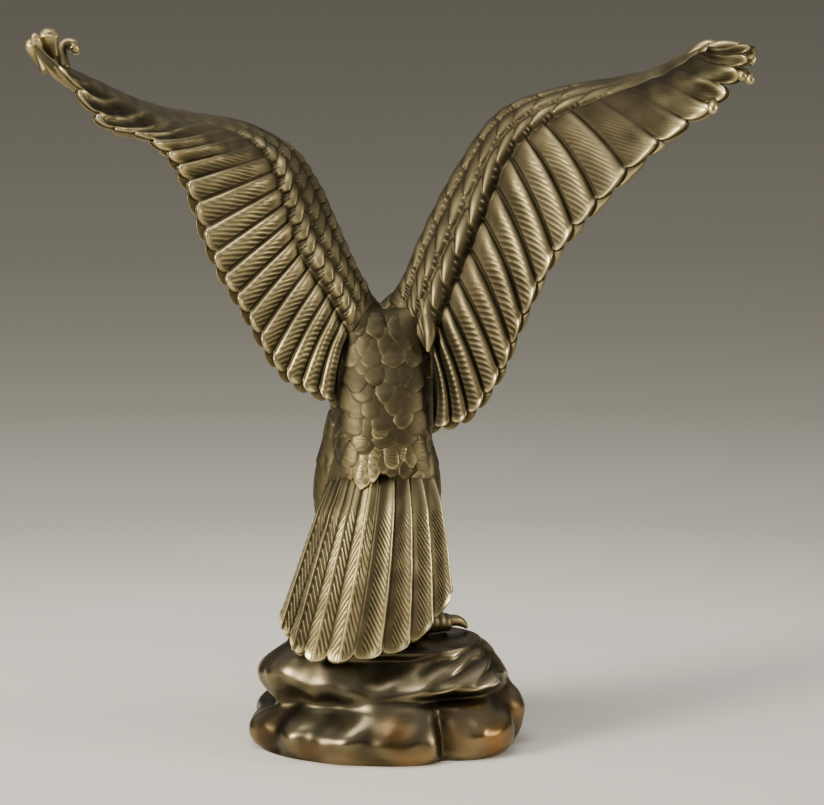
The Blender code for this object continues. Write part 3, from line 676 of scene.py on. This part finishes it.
        for q in np.linspace(0, 1, covert_rows):
            chord = turn * q
            raised, wear_and_painted_light = self.coverts(columns, q)
            add(chord, self.thickness(columns, chord) / 2 + raised * (q > 0), wear_and_painted_light)
        for v in np.linspace(0.015, 1, vane_rows):
            chord = turn + (1 - turn) * v * upper_end
            raised, wear_and_painted_light = carve(columns, v, vane * upper_end, width)
            add(chord, self.thickness(columns, chord) / 2 + raised, wear_and_painted_light)
        raised, wear_and_painted_light = carve(columns, 1.0, vane * upper_end, width)
        tip_height = self.thickness(columns, turn + (1 - turn) * upper_end) / 2 + raised
        for reach, fall in ((0.06, 0.9), (0.11, 0.6), (0.14, 0.2)):
            add(turn + (1 - turn) * (upper_end + reach * lap / vane), tip_height * fall, wear_and_painted_light * fall)
        for reach in (0.3, 0.6, 0.85, 0.96):
            share = upper_end + (under_end - upper_end) * reach
            crown = EDGE_THICKNESS * (0.1 + 0.35 * under_crest)
            add(turn + (1 - turn) * share, crown, 0.2 + 0.22 * reach * lapped)
        for height, wear_and_painted_light in ((0.12, 0.45), (-0.2, 0.4), (-0.5, 0.35)):
            add(turn + (1 - turn) * under_end, np.full(len(columns), EDGE_THICKNESS * height), wear_and_painted_light)
        for v in np.linspace(0.96, 0, under_rows):
            chord = turn + (1 - turn) * v * under_end
            crest = rounded(inside)
            raised = UNDERSIDE_RELIEF * FEATHER_RELIEF * crest * smooth_step(3 * v)
            add(chord, -self.thickness(columns, chord) / 2 - raised, 0.15 + 0.35 * crest)
        for q in np.linspace(0.96, 0.04, covert_rows // 3):
            chord = turn * q
            add(chord, -self.thickness(columns, chord) / 2, np.full(len(columns), 0.42))
        return np.stack(rings, axis=1), np.stack(wear_and_painted_lights, axis=1)


def wing(lines, counts, cupped, crumpled_and_shaded):
    """One wing, from its root in the shoulder to the feathers of its hand."""
    notches = (SECONDARY_NOTCH, PRIMARY_NOTCH)
    fan = Fan(lines, *counts, ARM_THICKNESS, HAND_THICKNESS, notches, cupped, crumpled_and_shaded)
    columns = np.linspace(0, fan.count - SHORT_OF_END, WING_COLUMNS)
    return fan.surface(columns, covert_rows=38, vane_rows=100, under_rows=18)


def tail():
    """The spread tail, which comes out from under the rump."""
    fan = Fan(TAIL, 0, TAIL_FEATHERS, TAIL_ROOT_THICKNESS, TAIL_ROOT_THICKNESS, (TAIL_NOTCH, TAIL_NOTCH))
    columns = np.linspace(0, fan.count - SHORT_OF_END, TAIL_COLUMNS)
    return fan.surface(columns, covert_rows=10, vane_rows=230, under_rows=34)


def squared(sine, cosine):
    """How far out a rounded section of the trunk reaches in a direction."""
    power = TRUNK_SQUARENESS
    return (np.abs(sine) ** power + np.abs(cosine) ** power) ** (-1 / power)


def trunk():
    """Rump, back, breast, neck and head, with angular scale feathers that shrink towards the head."""
    rings, sides = 250, 148
    t = np.linspace(0, 1, rings)
    sections = through(TRUNK, t)
    heading = np.gradient(sections[:, 1:3], axis=0)
    heading /= np.linalg.norm(heading, axis=1)[:, None]
    share, turn = np.meshgrid(t, np.arange(sides) / sides, indexing="ij")
    sine, cosine = np.sin(2 * math.pi * turn), np.cos(2 * math.pi * turn)
    square = squared(sine, cosine)

    def at(out):
        side = sections[:, 3][:, None] * sine * out
        back = sections[:, 4][:, None] * cosine * out
        return np.stack([
            sections[:, 0][:, None] + side,
            sections[:, 1][:, None] + heading[:, 1][:, None] * back,
            sections[:, 2][:, None] - heading[:, 0][:, None] * back,
        ], -1)

    smooth = at(square)
    across = TRUNK_SCALES * turn + 0.3 * unevenness(smooth, 15, 4)
    along = TRUNK_SCALE_ROWS * (1 - share) + 0.4 * unevenness(smooth, 14, 6)
    height, rim = scales(across, along)
    height *= 1 - 0.75 * smooth_step(1.6 * cosine - 0.2) * (1 - smooth_step((share - 0.4) / 0.1))
    height *= smooth_step((share - 0.14) / 0.1)
    hackles, hackle_rim = scales(HACKLES * turn, HACKLE_ROWS * (1 - share), 1.8)
    neck = smooth_step((share - NECK_START) / 0.08)
    height = height * (1 - neck) + 0.6 * hackles * neck
    rim = rim * (1 - neck) + hackle_rim * neck
    bare = smooth_step((share - HEAD_START) / 0.06)
    golden = bump(smooth[..., 2] - 56, 14) * smooth_step(smooth[..., 1] / 10)
    points = at(square + BODY_SCALE_RELIEF / BIRD_UNIT * height * (1 - bare) / sections[:, 4][:, None])
    wear_and_painted_light = 0.05 + 0.14 * smooth_step((height - 0.24) / 0.2) + rim * (0.02 + 0.14 * golden) + 0.05 * golden
    return in_place(points), wear_and_painted_light * (1 - bare) + 0.5 * bare


def mantle():
    """The saddle of the upper back between the roots of the wings."""
    rings, sides = 60, 60
    x, y, z, deep, tall = through(MANTLE, np.linspace(0, 1, rings)).T[:, :, None]
    angle = 2 * math.pi * np.arange(sides) / sides
    sine, cosine = np.sin(angle), np.cos(angle)
    square = squared(sine, cosine)
    around = np.broadcast_arrays(x, y + deep * square * cosine, z + tall * square * sine)
    return in_place(np.stack(around, -1)), np.full((rings, sides), 0.1)


def back_line(x, z):
    """How far back the bird's back stands at x and z, in bird units."""
    heights, backs = np.array(BACK).T
    side = np.clip(np.abs(x - 0.5) / BACK_WIDTH, 0, 1.2)
    return np.interp(z, heights, backs) - BACK_FALL * side**2.5


def plate(x, z, length, wide, lean, rub, seed):
    """A flat, angular scale feather that lies on the back, with its tip lifted a little."""
    rings, sides = 20, 18
    t = np.linspace(0, 1, rings)[:, None]
    corner = 0.6 + 0.22 * chance(seed)
    width = wide * np.interp(t, (0, 0.25, corner, 0.96, 1), (0.6, 0.95, 1, 0.3, 0.05))
    angle = 2 * math.pi * (np.arange(sides) + 0.5) / sides
    side, out = np.cos(angle), np.sin(angle)
    skew = 2.4 * (chance(seed + 2) - 0.5)
    across = np.sign(side) * np.abs(side) ** 0.8
    middle = x + lean * t
    xs = middle + across * width + skew * t**3
    zs = z - length * t
    lift = (0.1 + 1.2 * t * (0.6 + 0.6 * chance(seed + 4))) * smooth_step((1.12 - t) / 0.3)
    thick = PLATE_THICKNESS * (0.4 + 0.6 * np.sqrt(np.clip(1 - t, 0.02, 1)))
    tilt = 0.35 * (chance(seed + 6) - 0.5) * side
    ys = back_line(xs, zs) + lift + tilt + thick * np.sign(out) * np.abs(out) ** 0.7
    points = np.stack(np.broadcast_arrays(xs, ys, zs), -1)
    edge = np.maximum(np.abs(side) ** 3 * smooth_step(2 * t - 0.5), smooth_step((t - 0.84) / 0.08))
    tone = 0.09 + 0.09 * chance(seed + 8) + 0.4 * rub
    barbs = 0.22 * rub * np.sin(6.4 * (1.6 * (xs - middle) * np.sign(side) - (z - zs)))
    # Painted shade: the plate's underside, towards the body, is darker; the rest is the plate's tone and
    # wear.
    wear_with_painted_light = tone + 0.06 * t + (0.1 + 0.36 * rub) * edge * (out > 0.3) - 0.2 * (out < -0.3)
    wear_with_painted_light = wear_with_painted_light + 0.03 * unevenness(points, 1.6, 30) + barbs * (out > 0) * (1 - edge)
    return in_place(points), wear_with_painted_light


def plates():
    """Loose, uneven rows of plates from the mantle to the rump, then the rump's own golden ones."""
    made = []
    for row in range(PLATE_ROWS):
        z = PLATES_LOW + (PLATES_HIGH - PLATES_LOW) * row / (PLATE_ROWS - 1)
        half = BACK_ROW_REACH if z < MANTLE_LOW else MANTLE_ROW_REACH
        for place in range(-3, 4):
            seed = 20 * row + place + 5
            x = 0.4 + PLATE_SPACING * (place + 0.5 * (row % 2)) + 1.6 * (chance(seed) - 0.5)
            if abs(x) < half:
                length = 7.4 + 2.6 * chance(seed + 1)
                wide = 2.9 + 1.0 * chance(seed + 3)
                made.append(plate(x, z + 1.6 * (chance(seed + 5) - 0.5), length, wide, 0.06 * x, 0, seed))
    for number, (x, z, length, wide, lean, rub) in enumerate(RUMP_PLATES):
        made.append(plate(x, z, length, wide, lean, rub, number + 300))
    return made


def feathered(rows, count, height):
    """A carve function for a limb with rows of pointed scale feathers, whose tips point along it."""
    def carve(t, around):
        lift, rim = scales(count * around, rows * t, 1.7)
        return height * lift, 0.05 + 0.2 * smooth_step((lift - 0.2) / 0.4) + 0.06 * rim
    return carve


def ringed(count, height):
    """A carve function for a toe or shank with cross plates."""
    def carve(t, around):
        beat = np.abs(np.sin(math.pi * count * t)) ** 0.5
        top = smooth_step(0.5 + 1.2 * np.sin(2 * math.pi * around - math.pi / 2))
        return height * (beat - 1) * top, 0.1 + 0.35 * beat
    return carve


def rubbed(t, around):
    """The carving of a feather's curled tip: none, and a bright, worn end."""
    return np.zeros(t.shape), 0.36 + 0.34 * smooth_step((t - 0.2) / 0.4)


def rimmed(t, around):
    """The carving of a large scale feather: none, and wear that grows towards its tip and sides."""
    sides = np.abs(np.cos(2 * math.pi * around)) ** 3
    return np.zeros(t.shape), 0.25 + 0.4 * smooth_step(2 * t - 0.9) * sides


def toe_stations(turn, length):
    """Stations of a toe and of its claw, from the ankle outwards. The toe's sole lies on the rock."""
    out, forward = math.sin(math.radians(turn)), -math.cos(math.radians(turn))

    def at(reach, radius, lift=0.0):
        return (ANKLE[0] + out * reach, ANKLE[1] + forward * reach, radius * 0.97 + lift, radius)

    toe = [at(length * share, radius) for share, radius in TOE]
    claw = [at(length + CLAW_LENGTH * share, radius, lift) for share, radius, lift in CLAW]
    return toe, claw


def bird_body():
    """Trunk, shoulders, legs and head as one piece."""
    tubes = [trunk(), mantle()] + plates()
    tubes += [limb(stations, 36, 44, carve=feathered(7, 7, 0.5)) for stations in SHOULDER_CAPS]
    tubes.append(limb(UPPER_BEAK, 28, 40, BEAK_NARROWING))
    tubes.append(limb(LOWER_BEAK, 20, 24, BEAK_NARROWING))
    tubes += [limb(stations, 24, 40, carve=rimmed) for stations in SCAPULARS]
    for mirrored in (False, True):
        tubes.append(limb(SHOULDER, 56, 64, 1.0, mirrored, 0, feathered(8, 7, 0.7)))
        tubes.append(limb(THIGH, 64, 64, 1.0, mirrored, STANCE_SHIFT, feathered(5, 14, 0.9)))
        tubes.append(limb(SHANK, 24, 50, 1.0, mirrored, STANCE_SHIFT, ringed(9, 0.35)))
        tubes.append(limb(BROW, 16, 24, 1.0, mirrored))
        x, y, z, radius = EYE
        eye = [(x - 1, y, z, radius * 0.8), (x, y, z, radius), (x + 0.9, y, z, radius * 0.6)]
        tubes.append(limb(eye, 20, 12, 1.0, mirrored))
        for turn, length in TOES.items():
            toe, claw = toe_stations(turn, length)
            tubes.append(limb(toe, 20, 40, 1.0, mirrored, STANCE_SHIFT, ringed(5, 0.5)))
            tubes.append(limb(claw, 14, 20, 1.0, mirrored, STANCE_SHIFT))
    return tubes


def turned_from(turn, at):
    """How many degrees lie between two turns, from -180 to 180."""
    return (turn - at + 180) % 360 - 180


def spots(turn, share, marks):
    """The sum of soft spots on the rock, each at a turn and height, with its two spreads and amount."""
    total = np.zeros(share.shape)
    for at, height, spread, rise, amount in marks:
        total += amount * bump(turned_from(turn, at), spread) * bump(share - height, rise)
    return total


def rock():
    """The cast rock, lobed like the solid, with the softly dented skin of a wax that was worked by hand."""
    rings, sides = 130, 380
    share = np.linspace(0, 1, rings)
    places, sizes = np.array(ROCK_PROFILE).T
    size = np.mean([np.interp(share + d, places, sizes) for d in np.linspace(-0.06, 0.06, 9)], axis=0)
    share, turn = np.meshgrid(share, 360 * np.arange(sides) / sides, indexing="ij")
    swell = spots(turn, share, ROCK_LUMPS)
    angle = np.radians(turn)
    reach = size[:, None] + swell * (1 + (PERCH_SWELL - 1) * smooth_step((share - 0.9) / 0.1))
    points = np.stack([
        ROCK_WIDTH / 2 * reach * np.cos(angle), ROCK_DEPTH / 2 * reach * np.sin(angle), PERCH_HEIGHT * share
    ], -1)
    dents = unevenness(points, 0.019, 3) + 0.45 * unevenness(points, 0.009, 5)
    shelf = bump(turned_from(turn, SHELF_TURN), 34) * smooth_step((share - 0.56) / 0.1)
    layer = (points[..., 2] + 0.35 * points[..., 0]) / STRATA_SPACING
    strata = np.sin(2 * math.pi * layer + 1.5 * dents) * shelf
    edges = smooth_step(share / 0.06) * smooth_step((1 - share) / 0.06)
    points[..., :2] *= (1 + (0.024 * dents + 0.012 * strata) * edges)[..., None]
    # Painted shade: the rock is darker in the hollow under the shelf.
    painted_undercut_shade = bump(share - 0.55, 0.03) * bump(turned_from(turn, UNDERCUT_SHADE_TURN), 22)
    # Painted highlight: the shelf is brighter, where light from above falls on it; the strata are the rock's
    # own lines.
    wear_and_painted_light = 0.42 + 1.6 * swell + 0.16 * dents - 0.35 * painted_undercut_shade + 0.22 * shelf + 0.16 * strata
    lacquer = spots(turn, share, LACQUER) * (0.8 + 0.4 * unevenness(points, 0.009, 8))
    top = [(points[-1] * (shrink, shrink, 1), shrink) for shrink in (0.94, 0.85, 0.7, 0.5, 0.3)]
    for ring, shrink in top:
        hollow = np.clip(unevenness(ring, 0.011, 12), 0, 1)
        ring[:, 2] -= 0.0009 * hollow * smooth_step((0.97 - shrink) / 0.1)
        points = np.concatenate([points, ring[None]])
        wear_and_painted_light = np.concatenate([wear_and_painted_light, 0.5 - 0.3 * hollow[None]])
        lacquer = np.concatenate([lacquer, lacquer[-1:]])
    return points, wear_and_painted_light, lacquer.reshape(-1)


def node(tree, kind, **inputs):
    """A new node, with the values of some of its sockets by name."""
    made = tree.nodes.new(kind)
    for name, value in inputs.items():
        made.inputs[name.replace("_", " ")].default_value = value
    return made


def ramp(tree, source, stops):
    """A colour ramp on a source. Each stop is a place and a colour, or a grey value."""
    made = tree.nodes.new("ShaderNodeValToRGB")
    tree.links.new(source, made.inputs["Fac"])
    while len(made.color_ramp.elements) < len(stops):
        made.color_ramp.elements.new(0.5)
    for element, (place, colour) in zip(made.color_ramp.elements, stops):
        element.position = place
        element.color = (*colour, 1) if isinstance(colour, tuple) else (colour, colour, colour, 1)
    return made.outputs["Color"]


def blended(tree, amount, base, colour):
    """The base colour, with another colour laid over it by an amount."""
    mixed = node(tree, "ShaderNodeMix")
    mixed.data_type = "RGBA"
    tree.links.new(amount, mixed.inputs["Factor"])
    tree.links.new(base, mixed.inputs[6])
    mixed.inputs[7].default_value = (*colour, 1)
    return mixed.outputs[2]


def attribute(tree, name):
    """The value that the mesh keeps by that name."""
    made = node(tree, "ShaderNodeAttribute")
    made.attribute_name = name
    return made.outputs["Fac"]


def noise(tree, place, **inputs):
    """A noise in the object's own coordinates."""
    made = node(tree, "ShaderNodeTexNoise", **inputs)
    tree.links.new(place.outputs["Object"], made.inputs["Vector"])
    return made.outputs["Fac"]


def worked_out(tree, operation, *values):
    """The result of a Math node on sources and numbers, in the order of its sockets."""
    made = node(tree, "ShaderNodeMath")
    made.operation = operation
    for socket, value in zip(made.inputs, values):
        if isinstance(value, float):
            socket.default_value = value
        else:
            tree.links.new(value, socket)
    return made.outputs[0]


def patina(name, colours, roughnesses, tinge, noise_scale):
    """Patinated brass: dark in the hollows, olive on the slopes, rubbed bright on what stands proud, with
    the painted shade and highlights that the mesh keeps along with its wear.
    """
    material = bpy.data.materials.new(name)
    material.use_nodes = True
    tree = material.node_tree
    shader = tree.nodes["Principled BSDF"]
    shader.inputs["Metallic"].default_value = 1.0
    place = node(tree, "ShaderNodeTexCoord")
    cloud = noise(tree, place, Scale=noise_scale, Detail=5.0, Roughness=0.6)
    spread = worked_out(tree, "MULTIPLY_ADD", cloud, 0.34, -0.17)
    wear_with_painted_light = worked_out(tree, "ADD", attribute(tree, "wear_and_painted_light"), spread)
    drift = ramp(tree, noise(tree, place, Scale=noise_scale * 0.6, Detail=2.0), [(0.5, 0.0), (0.75, 0.4)])
    base = blended(tree, drift, ramp(tree, wear_with_painted_light, colours), tinge)
    base = blended(tree, attribute(tree, "lacquer"), base, AMBER)
    tree.links.new(base, shader.inputs["Base Color"])
    tree.links.new(ramp(tree, wear_with_painted_light, roughnesses), shader.inputs["Roughness"])
    dents = node(tree, "ShaderNodeBump", Strength=0.25, Distance=0.0002)
    tree.links.new(noise(tree, place, Scale=noise_scale * 9, Detail=3.0), dents.inputs["Height"])
    tree.links.new(dents.outputs["Normal"], shader.inputs["Normal"])
    return material


def antique_brass():
    """The bird's brass: golden olive, dark in its grooves and bright on its rubbed edges."""
    colours = [
        (0.0, (0.042, 0.034, 0.018)), (0.2, (0.105, 0.085, 0.044)), (0.4, (0.225, 0.18, 0.09)),
        (0.6, (0.44, 0.35, 0.17)), (0.8, (0.74, 0.6, 0.31)), (1.0, (0.97, 0.84, 0.5)),
    ]
    return patina("antique_brass", colours, [(0.1, 0.55), (0.6, 0.4), (1.0, 0.28)], (0.15, 0.105, 0.055), 60)


def dark_brass():
    """The rock's brass: darker and glossier than the bird's."""
    colours = [
        (0.05, (0.018, 0.015, 0.009)), (0.4, (0.085, 0.068, 0.038)), (0.62, (0.27, 0.215, 0.12)),
        (0.85, (0.8, 0.64, 0.37)),
    ]
    return patina("dark_brass", colours, [(0.1, 0.42), (0.6, 0.28), (1.0, 0.22)], (0.09, 0.09, 0.06), 45)


def stage():
    """A round floor that sweeps up into a wall all round the statue, with painted light in its colour: pale
    near the statue and darker grey further out and up the wall.
    """
    radius, bend, painted_light_reach, sides = 2.6, 1.2, 2.0, 96
    profile = [(reach, 0.0) for reach in np.linspace(0.1, radius - bend, 13)]
    profile += [
        (radius - bend + bend * math.sin(turn), bend - bend * math.cos(turn))
        for turn in np.linspace(0, math.pi / 2, 13)[1:]
    ]
    mesh = bpy.data.meshes.new("sweep")
    points = [
        (reach * math.cos(2 * math.pi * k / sides), reach * math.sin(2 * math.pi * k / sides), z)
        for reach, z in profile for k in range(sides)
    ]
    faces = [
        (r * sides + k, (r + 1) * sides + k, (r + 1) * sides + (k + 1) % sides, r * sides + (k + 1) % sides)
        for r in range(len(profile) - 1) for k in range(sides)
    ]
    faces.append(tuple(range(sides)))
    mesh.from_pydata(points, [], faces)
    mesh.shade_smooth()
    sweep = bpy.data.objects.new("sweep", mesh)
    bpy.context.scene.collection.objects.link(sweep)
    paper = bpy.data.materials.new("paper")
    paper.use_nodes = True
    tree = paper.node_tree
    shader = tree.nodes["Principled BSDF"]
    shader.inputs["Roughness"].default_value = 0.85
    place = node(tree, "ShaderNodeTexCoord")
    away = node(tree, "ShaderNodeVectorMath")
    away.operation = "LENGTH"
    tree.links.new(place.outputs["Object"], away.inputs[0])
    # Painted light: the colour is pale near the statue and darker with distance, in place of the lamps'
    # fall-off.
    painted_light_falloff = [
        (0.0, (0.94, 0.89, 0.77)), (0.1, (0.86, 0.815, 0.695)), (0.18, (0.57, 0.535, 0.45)),
        (0.33, (0.4, 0.375, 0.3)), (0.48, (0.37, 0.345, 0.27)), (0.64, (0.385, 0.36, 0.28)),
        (0.8, (0.345, 0.32, 0.25)), (1.0, (0.24, 0.224, 0.175)),
    ]
    fade = worked_out(tree, "DIVIDE", away.outputs["Value"], painted_light_reach)
    tree.links.new(ramp(tree, fade, painted_light_falloff), shader.inputs["Base Color"])
    mesh.materials.append(paper)


def light(name, place, power, size, colour=(1, 1, 1)):
    """A square, soft light that shines on the statue's middle."""
    data = bpy.data.lights.new(name, "AREA")
    data.energy = power
    data.size = size
    data.color = colour
    made = bpy.data.objects.new(name, data)
    bpy.context.scene.collection.objects.link(made)
    made.location = place
    made.rotation_euler = (Vector((0, 0, 0.1)) - Vector(place)).to_track_quat("-Z", "Y").to_euler()


def lights():
    """A warm key light at the picture's left, a weak one at its right, one above, and a pale room."""
    light("key", (0.85, 0.6, 0.45), 14, 0.35, (1, 0.96, 0.88))
    light("edge", (-0.8, 0.2, 0.25), 2.5, 0.25, (1, 0.96, 0.88))
    light("top", (0.2, 0.2, 1.1), 5, 0.6)
    world = bpy.data.worlds.new("studio")
    world.use_nodes = True
    world.node_tree.nodes["Background"].inputs["Color"].default_value = (0.5, 0.51, 0.53, 1)
    world.node_tree.nodes["Background"].inputs["Strength"].default_value = 0.8
    bpy.context.scene.world = world


def camera():
    """The photo's view: from behind, a little above, with the statue a little left of the middle."""
    distance, elevation = 0.90, math.radians(8)
    width, height, focal, centre_x, centre_y = 824, 805, 3225, 385, 390.66
    target = Vector((0, 0, 0.1))
    data = bpy.data.cameras.new("camera")
    data.sensor_width = 36
    data.lens = focal / width * data.sensor_width
    data.shift_x = (width / 2 - centre_x) / width
    data.shift_y = (centre_y - height / 2) / width
    made = bpy.data.objects.new("camera", data)
    bpy.context.scene.collection.objects.link(made)
    forward = Vector((0, -math.cos(elevation), -math.sin(elevation)))
    made.location = target - forward * distance
    made.rotation_euler = forward.to_track_quat("-Z", "Y").to_euler()
    bpy.context.scene.camera = made


def show(made, material, solid):
    """Gives a piece its finish, hangs it under the root, and hides the solid that it stands for."""
    made.data.materials.append(material)
    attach(made, "root")
    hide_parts(solid)
    print(made.name, sum(len(f.vertices) - 2 for f in made.data.polygons), "triangles")


def main():
    brass = antique_brass()
    left_tips = [limb(stations, 16, 30, carve=rubbed) for stations in LEFT_FINGERS]
    left_tips += [limb(stations, 16, 24, 1.3, carve=rubbed) for stations in LEFT_KNOBS]
    right_tips = [limb(stations, 16, 30, carve=rubbed) for stations in RIGHT_FINGERS]
    right_tips += [limb(stations, 14, 20, carve=rubbed) for stations in RIGHT_KNOBS]
    left = wing(LEFT_WING, LEFT_FEATHERS, cupped=1, crumpled_and_shaded=0.3)
    right = wing(RIGHT_WING, RIGHT_FEATHERS, cupped=0, crumpled_and_shaded=1)
    bird = {
        "left_wing": [left] + left_tips, "right_wing": [right] + right_tips,
        "tail": [tail()], "eagle_body": bird_body(),
    }
    for name, tubes in bird.items():
        show(piece(name, tubes), brass, "eagle")
    points, wear_and_painted_light, lacquer = rock()
    show(piece("cast_rock", [(points, wear_and_painted_light)], lacquer), dark_brass(), "rock_plinth")
    stage()
    lights()
    camera()


main()
